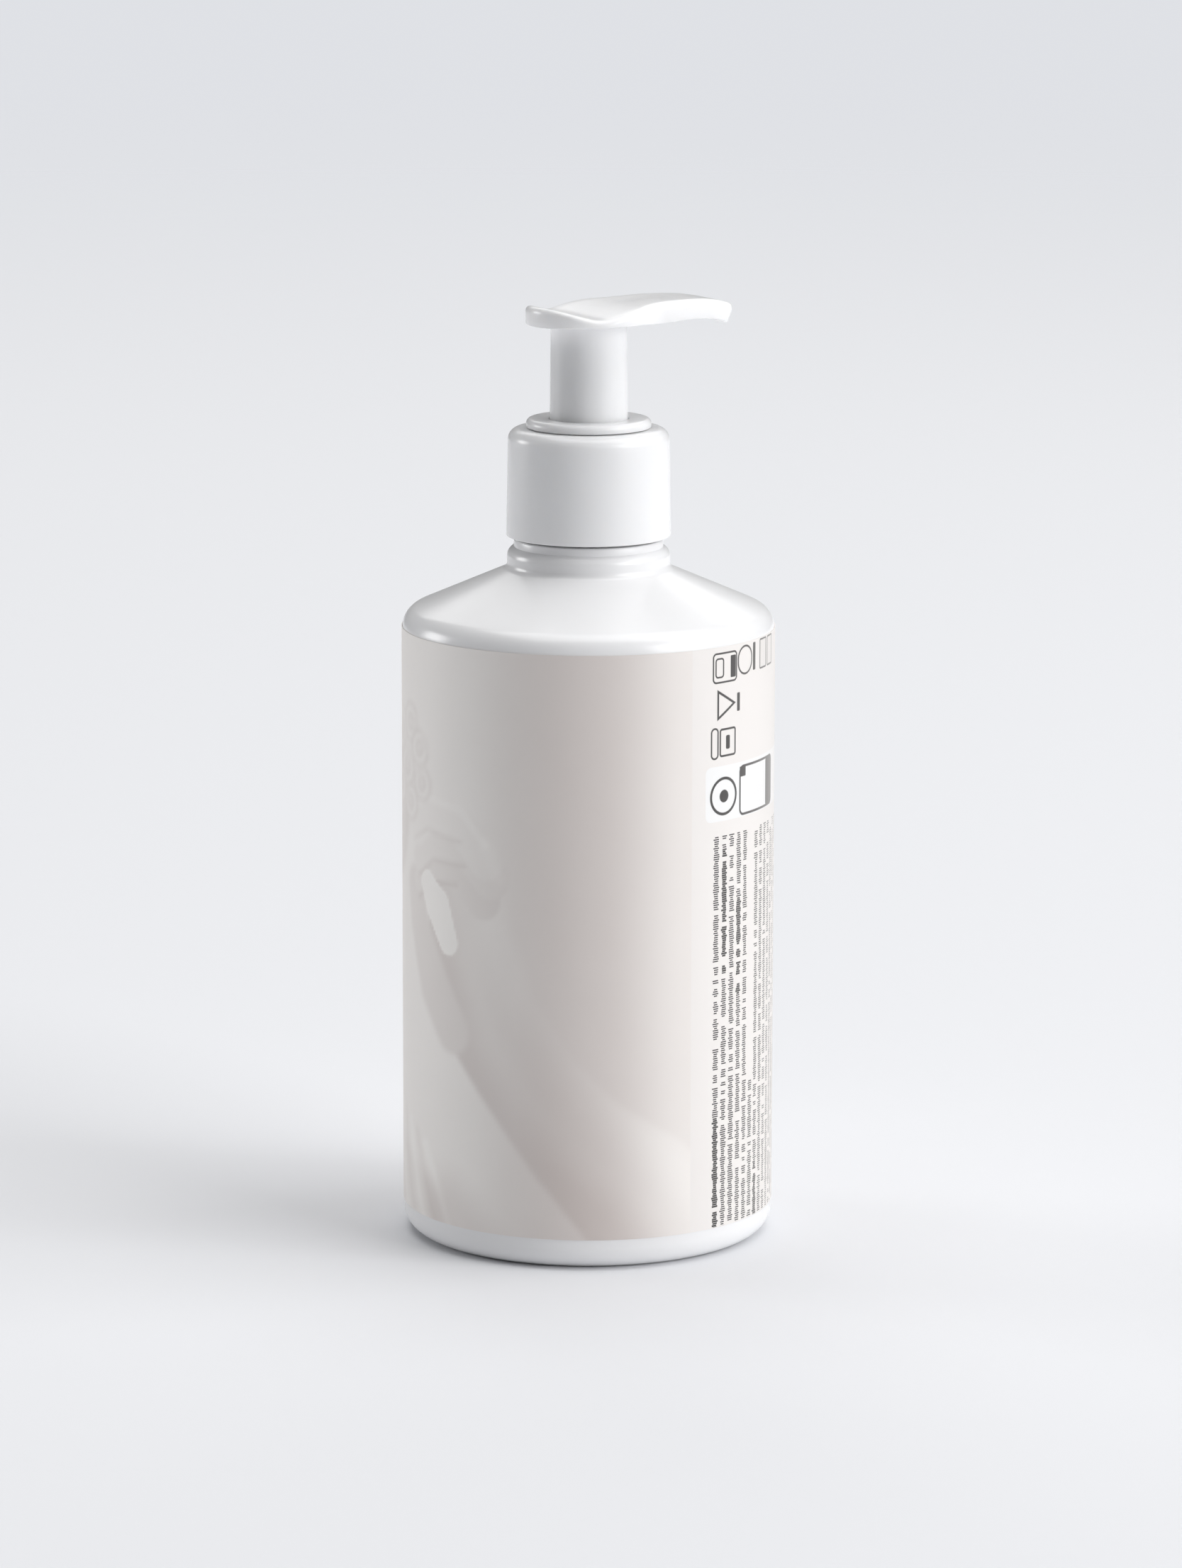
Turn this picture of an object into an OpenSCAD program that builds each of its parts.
// White pump bottle for shampoo: a blow-moulded bottle with a wrap label,
// closed by a screw collar that holds a two-ball lotion pump.
// Millimetres, +Z up. The origin is on the pump's axis, at the surface the bottle stands on.
// The spout points along +X.

/* [Bottle] */
// Outer radius of the bottle's body
body_r = 32.25; // [31:0.25:33]
// Height at which the side wall starts to round into the shoulder
wall_top_z = 106.9; // [96:0.1:107]
// Rounding between the side wall and the shoulder
shoulder_round = 4; // [3:0.5:4]
// Slope of the shoulder cone, in degrees from level
shoulder_slope = 23.5; // [22:0.5:23.5]
// Rounding between the side wall and the base
base_round = 4; // [3:0.5:5]
// How far the middle of the base is pushed up
push_up = 3.5; // [2:0.5:4]
// Thickness of the bottle's wall
wall = 1; // [0.8:0.1:1.2]

/* [Label] */
// Lower edge of the wrap label
label_bottom_z = 5.5; // [5:0.5:12]
// Upper edge of the wrap label
label_top_z = 107.2; // [90:0.1:107.2]
// Thickness of the label film
label_t = 0.12; // [0.1:0.01:0.3]
// Width of the butt seam at the back of the label
label_seam = 0.6; // [0.4:0.1:2]
// Direction of that seam from the axis, in degrees from the spout's own direction
label_seam_angle = 30; // [0:5:90]

/* [Neck finish, 24-410] */
// Radius over the thread, T/2
thread_r = 11.94; // [11.8:0.02:12]
// Radius of the neck's wall, E/2
neck_r = 10.87; // [10.8:0.01:10.9]
// Bore of the neck
neck_bore_r = 9.55; // [9.5:0.05:9.6]
// Thread pitch, eight turns to the inch
pitch = 3.175; // [3.1:0.025:3.2]
// Length of the thread, in turns
turns = 1.5; // [1:0.25:1.5]

/* [Collar] */
// Outer radius at the collar's lower edge
collar_r_low = 14.25; // [14:0.05:14.5]
// Outer radius at the collar's upper edge
collar_r_top = 13.95; // [13.8:0.05:14]
// Rounding of the collar's upper edge
collar_round = 2; // [1:0.5:2]
// Height of the collar
collar_h = 18.7; // [18.5:0.1:18.8]

/* [Pump head] */
// Radius of the round thumb pad
pad_r = 10.9; // [10:0.1:12]
// Distance from the axis to the tip of the spout
spout_reach = 28.3; // [27.5:0.1:29]
// Width of the spout where it leaves the pad
spout_w_root = 14; // [12:0.5:16]
// Width of the spout at its tip
spout_w_tip = 7; // [6:0.5:8]
// Radius of the channel through the spout
spout_bore_r = 0.7; // [0.6:0.1:0.8]
// How far the cut at the spout's tip leans back at its lower edge
tip_slant = 2.2; // [1:0.1:2.6]
// Travel of the head when it is pressed
stroke = 14; // [10:1:14]

/* [Pump] */
// Bore of the pump cylinder
cylinder_r = 5.85; // [5.8:0.05:5.9]
// Outer radius of the dip tube
dip_tube_r = 3.6; // [3.4:0.1:3.6]
// Bore of the dip tube
dip_tube_bore_r = 2.8; // [2.4:0.1:2.9]
// Height of the dip tube's cut end above the floor
dip_tube_end_z = 8; // [7:0.5:20]
// Radius of the inlet ball
inlet_ball_r = 2.38; // [2.3:0.01:2.4]
// Radius of the outlet ball
outlet_ball_r = 1.58; // [1.5:0.01:1.6]
// Thickness of the spring's wire
wire_d = 0.9; // [0.7:0.1:1]
// Mean radius of the spring
coil_r = 4; // [3.95:0.05:4.05]

/* [Hidden] */
$fn = 96;

// Clearances: parts that only sit against each other, a seal that slides, a shaft in its guide
touch_gap = 0.03;
seal_gap = 0.05;
guide_gap = 0.15;
eps = 0.01;

// Bottle, from the base up
ring_r = 22;
corner_r = body_r - base_round;
shoulder_c = [body_r - shoulder_round, wall_top_z];
cone_start = shoulder_c + shoulder_round * [sin(shoulder_slope), cos(shoulder_slope)];
bead_r = 14.1;
bead_round = 1.8;
bead_z = 119.35;
bead_fillet = 1.4;
bead_top_angle = 70;
ledge_r = bead_r - bead_round * (1 - cos(bead_top_angle));
ledge_z = 122.4;
neck_top_z = 136.9;
thread_low_z = 129.6;

// Closure stack, from the neck's sealing face up
gasket_t = 1;
gasket_z = neck_top_z;
flange_z = gasket_z + gasket_t;
flange_t = 2;
flange_r = 11.2;
collar_z = 122.9;
collar_top_z = collar_z + collar_h;
collar_bore_r = 12.3;
collar_ceiling_z = flange_z + flange_t + 0.2;
collar_hole_r = 8.6;
chaplet_z = collar_top_z + guide_gap;
chaplet_ring_t = 1.55;
chaplet_ring_r = 10.8;
chaplet_round = 0.9;
chaplet_neck_r = 8.4;
cup_r = 8.2;
cup_bore_r = 6.95;
cup_bottom_z = 124.5;
web_t = 1.5;
snap_z = 130;
snap_r = 8.45;

// Pump housing
housing_r = 9.3;
housing_wall = 1.1;
cylinder_floor_z = 84.5;
lip_t = 0.8;
ball_room_r = 2.7;
inlet_seat_r = 1.4;
inlet_apex_z = 77.5;
socket_top_z = 77.6;
socket_bottom_z = 66;
socket_wall = 1.3;
vent_z = 120.6;
vent_r = 0.5;

// Stem, piston and head
stem_r = 3.5;
stem_foot_r = 3;
stem_bore_r = 2.2;
stem_bottom_z = 117.2;
stem_top_z = 157;
shoulder_z = 124.35;
piston_z = 117.3;
piston_h = 7;
piston_lip = 1.2;
piston_waist_r = 4.9;
plug_flange_r = 4.6;
plug_flange_t = 1;
plug_boss_r = 3.3;
plug_boss_h = 3;
plug_bore_r = 1.6;
outlet_seat_r = 1;
outlet_apex_z = 118.2;
lug_z = 123.8;
lug_t = 0.8;
lug_r = 1.3;
skirt_bottom_z = cup_bottom_z + web_t + stroke + 1;
skirt_r_low = 6.75;
skirt_r_top = 6.58;
skirt_wall = 1.1;
head_z = 160;
socket_r = 4.8;
head_socket_z = 146;
head_rib_z = 159.4;
head_rib_r = 6.85;

// Points on an arc about [x, z], both ends included
function arc(c, r, a0, a1, n = 8) =
    [for (i = [0:n]) let (a = a0 + (a1 - a0) * i / n) c + r * [cos(a), sin(a)]];

// Height of the shoulder cone's outer face at a radius
function cone_z(r) = cone_start[1] + (cone_start[0] - r) * tan(shoulder_slope);

// Half a cosine from h at the middle to nothing at radius r: the pushed-up base
function dome(r, h, z, n = 8) =
    [for (i = [0:n]) [r * i / n, z + h * (1 + cos(180 * i / n)) / 2]];

// Solid of revolution from a closed [r, z] outline
module turned(outline) {
    rotate_extrude() polygon(outline);
}

// Ring between two radii
module ring(r_out, r_in, z, h) {
    translate([0, 0, z]) difference() {
        cylinder(r = r_out, h = h);
        translate([0, 0, -eps]) cylinder(r = r_in, h = h + 2 * eps);
    }
}

// A closed tube skinned over equal rings of points, each ring listed in the same order
module skinned(rings) {
    m = len(rings[0]);
    last = len(rings) - 1;
    sides = [for (i = [0:last - 1]) for (j = [0:m - 1])
        let (a = i * m + j, b = i * m + (j + 1) % m)
        for (f = [[a, b, b + m], [a, b + m, a + m]]) f];
    caps = [[for (j = [m - 1:-1:0]) j], [for (j = [0:m - 1]) last * m + j]];
    polyhedron(points = [for (ring = rings) each ring], faces = concat(sides, caps));
}

// Right-hand thread ridge. It grows out of the wall at root_r to crest_r and fades at both ends.
module thread_ridge(root_r, crest_r, root_w, crest_w, z, length) {
    steps = 54;
    fade = 0.12;
    rings = [for (i = [0:steps])
        let (t = i / steps, a = 360 * length * t, zc = z + pitch * length * t)
        let (k = min(1, min(t, 1 - t) / fade), rise = 0.25 + 0.75 * k)
        let (r = root_r + (crest_r - root_r) * rise)
        [for (p = [[root_r, -root_w], [r, -crest_w], [r, crest_w], [root_r, root_w]])
            [p[0] * cos(a), p[0] * sin(a), zc + p[1] / 2]]];
    skinned(crest_r > root_r ? rings : [for (ring = rings) [for (j = [3:-1:0]) ring[j]]]);
}

// Side of the thumb pad and the spout: [distance along the spout, height], over and under
function head_over(s) = lookup(s, [
    [-pad_r, 163.05], [-9.5, 162.9], [-8, 162.5], [-6, 161.85], [-4, 161.35], [-2, 161.35],
    [0, 161.8], [2, 162.25], [4.5, 162.7], [7, 163], [9.5, 163.2], [12, 163.35], [15.5, 163.4],
    [18, 163.35], [20.5, 163.2], [23.5, 162.75], [26, 162.15], [spout_reach, 161.5]
]);
function head_under(s) = lookup(s, [
    [-pad_r, head_z - 0.4], [-8, head_z - 0.1], [-5, head_z], [5, head_z], [8.5, 159.7], [12, 159.75],
    [16, 160], [19, 159.9], [22, 159.6], [24.5, 159.15], [spout_reach, 158.4]
]);
function spout_half(s) = lookup(s, [
    [0, spout_w_root / 2], [10, spout_w_root / 2], [16, spout_w_root / 2 - 0.6],
    [22, (spout_w_root + spout_w_tip) / 4 + 0.1], [spout_reach, spout_w_tip / 2]
]);

module bottle() {
    inner_drop = wall / cos(shoulder_slope);
    fillet_r = bead_r + bead_fillet;
    fillet_c = [fillet_r, cone_z(fillet_r) + bead_fillet / cos(shoulder_slope)];
    outside = concat(
        dome(ring_r, push_up, 0),
        arc([corner_r, base_round], base_round, -90, 0),
        arc(shoulder_c, shoulder_round, 0, 90 - shoulder_slope),
        arc(fillet_c, bead_fillet, 270 - shoulder_slope, 180),
        arc([bead_r - bead_round, bead_z], bead_round, 0, bead_top_angle),
        [[ledge_r, ledge_z], [neck_r, ledge_z + 0.2], [neck_r, neck_top_z - 0.3], [neck_r - 0.3, neck_top_z]]
    );
    inside = concat(
        dome(ring_r, push_up, wall),
        arc([corner_r, base_round], base_round - wall, -90, 0),
        arc(shoulder_c, shoulder_round - wall, 0, 90 - shoulder_slope),
        [[neck_bore_r, cone_z(neck_bore_r) - inner_drop], [neck_bore_r, neck_top_z]]
    );
    color("white") {
        turned(concat(outside, [for (i = [len(inside) - 1:-1:0]) inside[i]]));
        thread_ridge(neck_r - 0.4, thread_r, 2.1, 1.1, thread_low_z, turns);
    }
}

module label() {
    r = body_r + 0.02;
    color([0.84, 0.81, 0.79]) difference() {
        ring(r + label_t, r, label_bottom_z, min(label_top_z, wall_top_z + 0.3) - label_bottom_z);
        rotate([0, 0, label_seam_angle])
            translate([body_r - 2, -label_seam / 2, 0]) cube([4, label_seam, label_top_z + 1]);
    }
}

module collar() {
    slope = (collar_r_low - collar_r_top) / collar_h;
    outline = concat(
        [[collar_bore_r, collar_z], [collar_r_low, collar_z]],
        arc([collar_r_top - collar_round, collar_top_z - collar_round], collar_round, 0, 90),
        [
            [collar_hole_r, collar_top_z], [collar_hole_r, collar_ceiling_z],
            [collar_bore_r - 0.6, collar_ceiling_z], [collar_bore_r, collar_ceiling_z - 0.6]
        ]
    );
    color("white") {
        turned(outline);
        thread_ridge(collar_bore_r + 0.4, neck_r + 0.23, 1.5, 0.6, thread_low_z - pitch / 2, turns);
    }
}

module chaplet() {
    ring_top = chaplet_z + chaplet_ring_t;
    outline = concat(
        [[stem_r + guide_gap, cup_bottom_z], [cup_r - 0.4, cup_bottom_z], [cup_r, cup_bottom_z + 0.4]],
        [[cup_r, snap_z], [snap_r, snap_z + 0.5], [snap_r, snap_z + 1], [cup_r, snap_z + 1.6]],
        [[cup_r, flange_z + flange_t], [chaplet_neck_r, flange_z + flange_t + 0.2]],
        [[chaplet_neck_r, chaplet_z], [chaplet_ring_r, chaplet_z]],
        arc([chaplet_ring_r - chaplet_round, ring_top - chaplet_round], chaplet_round, 0, 90),
        [[cup_bore_r + 0.3, ring_top], [cup_bore_r, ring_top - 0.3]],
        [[cup_bore_r, cup_bottom_z + web_t], [stem_r + guide_gap, cup_bottom_z + web_t]]
    );
    color("white") turned(outline);
}

module housing() {
    bore = cup_r + seal_gap;
    body_out = cylinder_r + housing_wall;
    boss_r = dip_tube_r + socket_wall;
    lip_r = inlet_ball_r - 0.28;
    lip_z = cylinder_floor_z - lip_t;
    seat_top_z = inlet_apex_z + ball_room_r;
    ledge = cup_bottom_z - touch_gap;
    outline = [
        [flange_r, flange_z], [flange_r, flange_z + flange_t], [bore + 0.2, flange_z + flange_t],
        [bore, flange_z + flange_t - 0.2], [bore, snap_z + 1.7], [snap_r + seal_gap, snap_z + 1.05],
        [snap_r + seal_gap, snap_z + 0.45], [bore, snap_z - 0.1], [bore, ledge],
        [cylinder_r + 0.3, ledge], [cylinder_r, ledge - 0.3], [cylinder_r, cylinder_floor_z],
        [lip_r, cylinder_floor_z], [lip_r, lip_z], [ball_room_r, lip_z], [ball_room_r, seat_top_z],
        [inlet_seat_r, inlet_apex_z + inlet_seat_r], [inlet_seat_r, socket_top_z],
        [dip_tube_r + touch_gap, socket_top_z], [dip_tube_r + touch_gap, socket_bottom_z],
        [boss_r, socket_bottom_z], [boss_r, 80.5], [body_out, 83], [body_out, 121],
        [housing_r, 123.6], [housing_r, flange_z]
    ];
    color([0.93, 0.93, 0.92]) difference() {
        turned(outline);
        // Flow slots past the ball, through the lip that keeps it in
        for (a = [0, 90]) rotate([0, 0, a])
            translate([-ball_room_r, -0.5, lip_z - eps]) cube([2 * ball_room_r, 1, lip_t + 2 * eps]);
        // Vent that lets air into the bottle while the piston is down
        translate([0, 0, vent_z]) rotate([90, 0, 0]) cylinder(r = vent_r, h = body_out + 1, $fn = 32);
    }
}

module gasket() {
    color([0.9, 0.9, 0.9]) ring(neck_r + 0.5, housing_r + 0.1, gasket_z, gasket_t);
}

module dip_tube() {
    top_z = socket_top_z - 0.1;
    notch = 0.8 * dip_tube_r;
    color([0.92, 0.93, 0.92]) difference() {
        ring(dip_tube_r, dip_tube_bore_r, dip_tube_end_z, top_z - dip_tube_end_z);
        // The end is cut to a notch, so that it can't seal against the base
        translate([0, 2 * dip_tube_r, dip_tube_end_z]) rotate([90, 0, 0]) linear_extrude(4 * dip_tube_r)
            polygon([[-notch, -eps], [notch, -eps], [0, notch]]);
    }
}

module spring() {
    low = cylinder_floor_z + wire_d / 2 + touch_gap;
    high = stem_bottom_z - plug_flange_t - wire_d / 2 - touch_gap;
    closed = wire_d + touch_gap;
    coils = 9;
    open_pitch = (high - low - 2 * closed) / (coils - 2);
    per_turn = 20;
    rings = [for (i = [0:coils * per_turn])
        let (u = i / per_turn, a = 360 * u)
        let (z = low + closed * min(u, 1) + open_pitch * max(0, min(u - 1, coils - 2))
            + closed * max(0, u - coils + 1))
        [for (k = [0:5]) let (r = coil_r + wire_d / 2 * cos(60 * k))
            [r * cos(a), r * sin(a), z + wire_d / 2 * sin(60 * k)]]];
    color("silver") skinned([for (ring = rings) [for (k = [5:-1:0]) ring[k]]]);
}

module inlet_ball() {
    color("silver") translate([0, 0, inlet_apex_z + (inlet_ball_r + touch_gap) * sqrt(2)])
        sphere(r = inlet_ball_r);
}

module piston() {
    lip_r = cylinder_r - seal_gap;
    top = piston_z + piston_h;
    bore = stem_foot_r + seal_gap;
    outline = [
        [bore, piston_z], [piston_waist_r - 0.9, piston_z], [piston_waist_r - 0.9, piston_z + 1],
        [lip_r - 0.6, piston_z], [lip_r, piston_z + 0.2], [lip_r, piston_z + piston_lip],
        [piston_waist_r, piston_z + 2.4], [piston_waist_r, top - 2.4],
        [lip_r, top - piston_lip], [lip_r, top - 0.2], [lip_r - 0.6, top],
        [piston_waist_r - 0.9, top - 1], [piston_waist_r - 0.9, top], [bore, top]
    ];
    color([0.85, 0.87, 0.9]) turned(outline);
}

module stem() {
    outline = [
        [stem_bore_r, stem_bottom_z], [stem_foot_r, stem_bottom_z], [stem_foot_r, shoulder_z],
        [stem_r, shoulder_z], [stem_r, stem_top_z - 0.3], [stem_r - 0.3, stem_top_z],
        [stem_bore_r, stem_top_z], [stem_bore_r, lug_z + lug_t], [lug_r, lug_z + lug_t],
        [lug_r, lug_z], [stem_bore_r, lug_z]
    ];
    color([0.93, 0.93, 0.92]) difference() {
        turned(outline);
        for (a = [0, 90]) rotate([0, 0, a])
            translate([-stem_bore_r, -0.45, lug_z - eps]) cube([2 * stem_bore_r, 0.9, lug_t + 2 * eps]);
    }
}

module stem_plug() {
    spigot_r = stem_bore_r - touch_gap;
    seat_z = outlet_apex_z + outlet_seat_r;
    flange_low = stem_bottom_z - plug_flange_t;
    outline = [
        [plug_bore_r, flange_low - plug_boss_h], [plug_boss_r - 0.5, flange_low - plug_boss_h],
        [plug_boss_r, flange_low - plug_boss_h + 0.5], [plug_boss_r, flange_low],
        [plug_flange_r, flange_low], [plug_flange_r, stem_bottom_z - touch_gap],
        [spigot_r, stem_bottom_z - touch_gap], [spigot_r, outlet_apex_z + 1.8],
        [1.8, outlet_apex_z + 1.8], [outlet_seat_r, seat_z], [outlet_seat_r, seat_z - 1],
        [plug_bore_r, seat_z - 1.6]
    ];
    color([0.93, 0.93, 0.92]) turned(outline);
}

module outlet_ball() {
    color("silver") translate([0, 0, outlet_apex_z + (outlet_ball_r + touch_gap) * sqrt(2)])
        sphere(r = outlet_ball_r);
}

module head_blank() {
    shared = concat([for (a = [180:-10:50]) pad_r * cos(a)], [8, 9.5, 11, 13, 15, 17, 19, 21, 23, 25]);
    over = [for (s = concat(shared, [27, spout_reach])) [s, head_over(s)]];
    tip_low = spout_reach - tip_slant;
    under = concat([[tip_low, head_under(tip_low)]],
        [for (i = [len(shared) - 1:-1:0]) [shared[i], head_under(shared[i])]]);
    spout = [for (s = [0, 4, 8, 10, 12, 14, 16, 18, 20, 22, 24, 26]) [s, spout_half(s)]];
    plan_half = concat(spout, [
        [spout_reach - 0.8, spout_half(spout_reach)], [spout_reach, spout_w_tip / 2 - 0.8]
    ]);
    plan = concat(plan_half, [for (i = [len(plan_half) - 1:-1:0]) [plan_half[i][0], -plan_half[i][1]]]);
    intersection() {
        translate([0, 0, head_z - 2]) linear_extrude(6) union() {
            circle(r = pad_r);
            polygon(plan);
        }
        translate([0, pad_r + 1, 0]) rotate([90, 0, 0]) linear_extrude(2 * pad_r + 2)
            polygon(concat(over, under));
    }
}

module actuator() {
    roof_z = stem_top_z;
    knee = [9, 162.1];
    mouth_z = 160.2;
    // A little wider than the bores it joins, so that it meets neither of them edge to edge
    knee_r = spout_bore_r + 0.1;
    rise = atan2(knee[1] - (roof_z + 1.6), knee[0]);
    fall = atan2(knee[1] - mouth_z, spout_reach - knee[0]);
    color("white") difference() {
        union() {
            head_blank();
            turned([
                [0, roof_z], [skirt_r_low - skirt_wall, roof_z], [skirt_r_low - skirt_wall, skirt_bottom_z],
                [skirt_r_low, skirt_bottom_z], [skirt_r_top, head_rib_z], [head_rib_r, head_rib_z],
                [head_rib_r, head_z + 0.2], [0, head_z + 0.2]
            ]);
            ring(socket_r, stem_r + touch_gap, head_socket_z, roof_z - head_socket_z + eps);
        }
        // Flow channel: up from the stem, along the spout and out at the tip
        translate([0, 0, roof_z - 1]) cylinder(r = 1.6, h = 2.4, $fn = 32);
        translate([0, 0, roof_z + 1.6]) rotate([0, 90 - rise, 0])
            cylinder(r = spout_bore_r, h = norm([knee[0], knee[1] - roof_z - 1.6]), $fn = 32);
        translate([knee[0], 0, knee[1]]) sphere(r = knee_r, $fn = 32);
        translate([knee[0], 0, knee[1]]) rotate([0, 90 + fall, 0])
            cylinder(r = spout_bore_r, h = spout_reach, $fn = 32);
    }
}

bottle();
label();
collar();
chaplet();
housing();
gasket();
dip_tube();
spring();
inlet_ball();
piston();
stem();
stem_plug();
outlet_ball();
actuator();
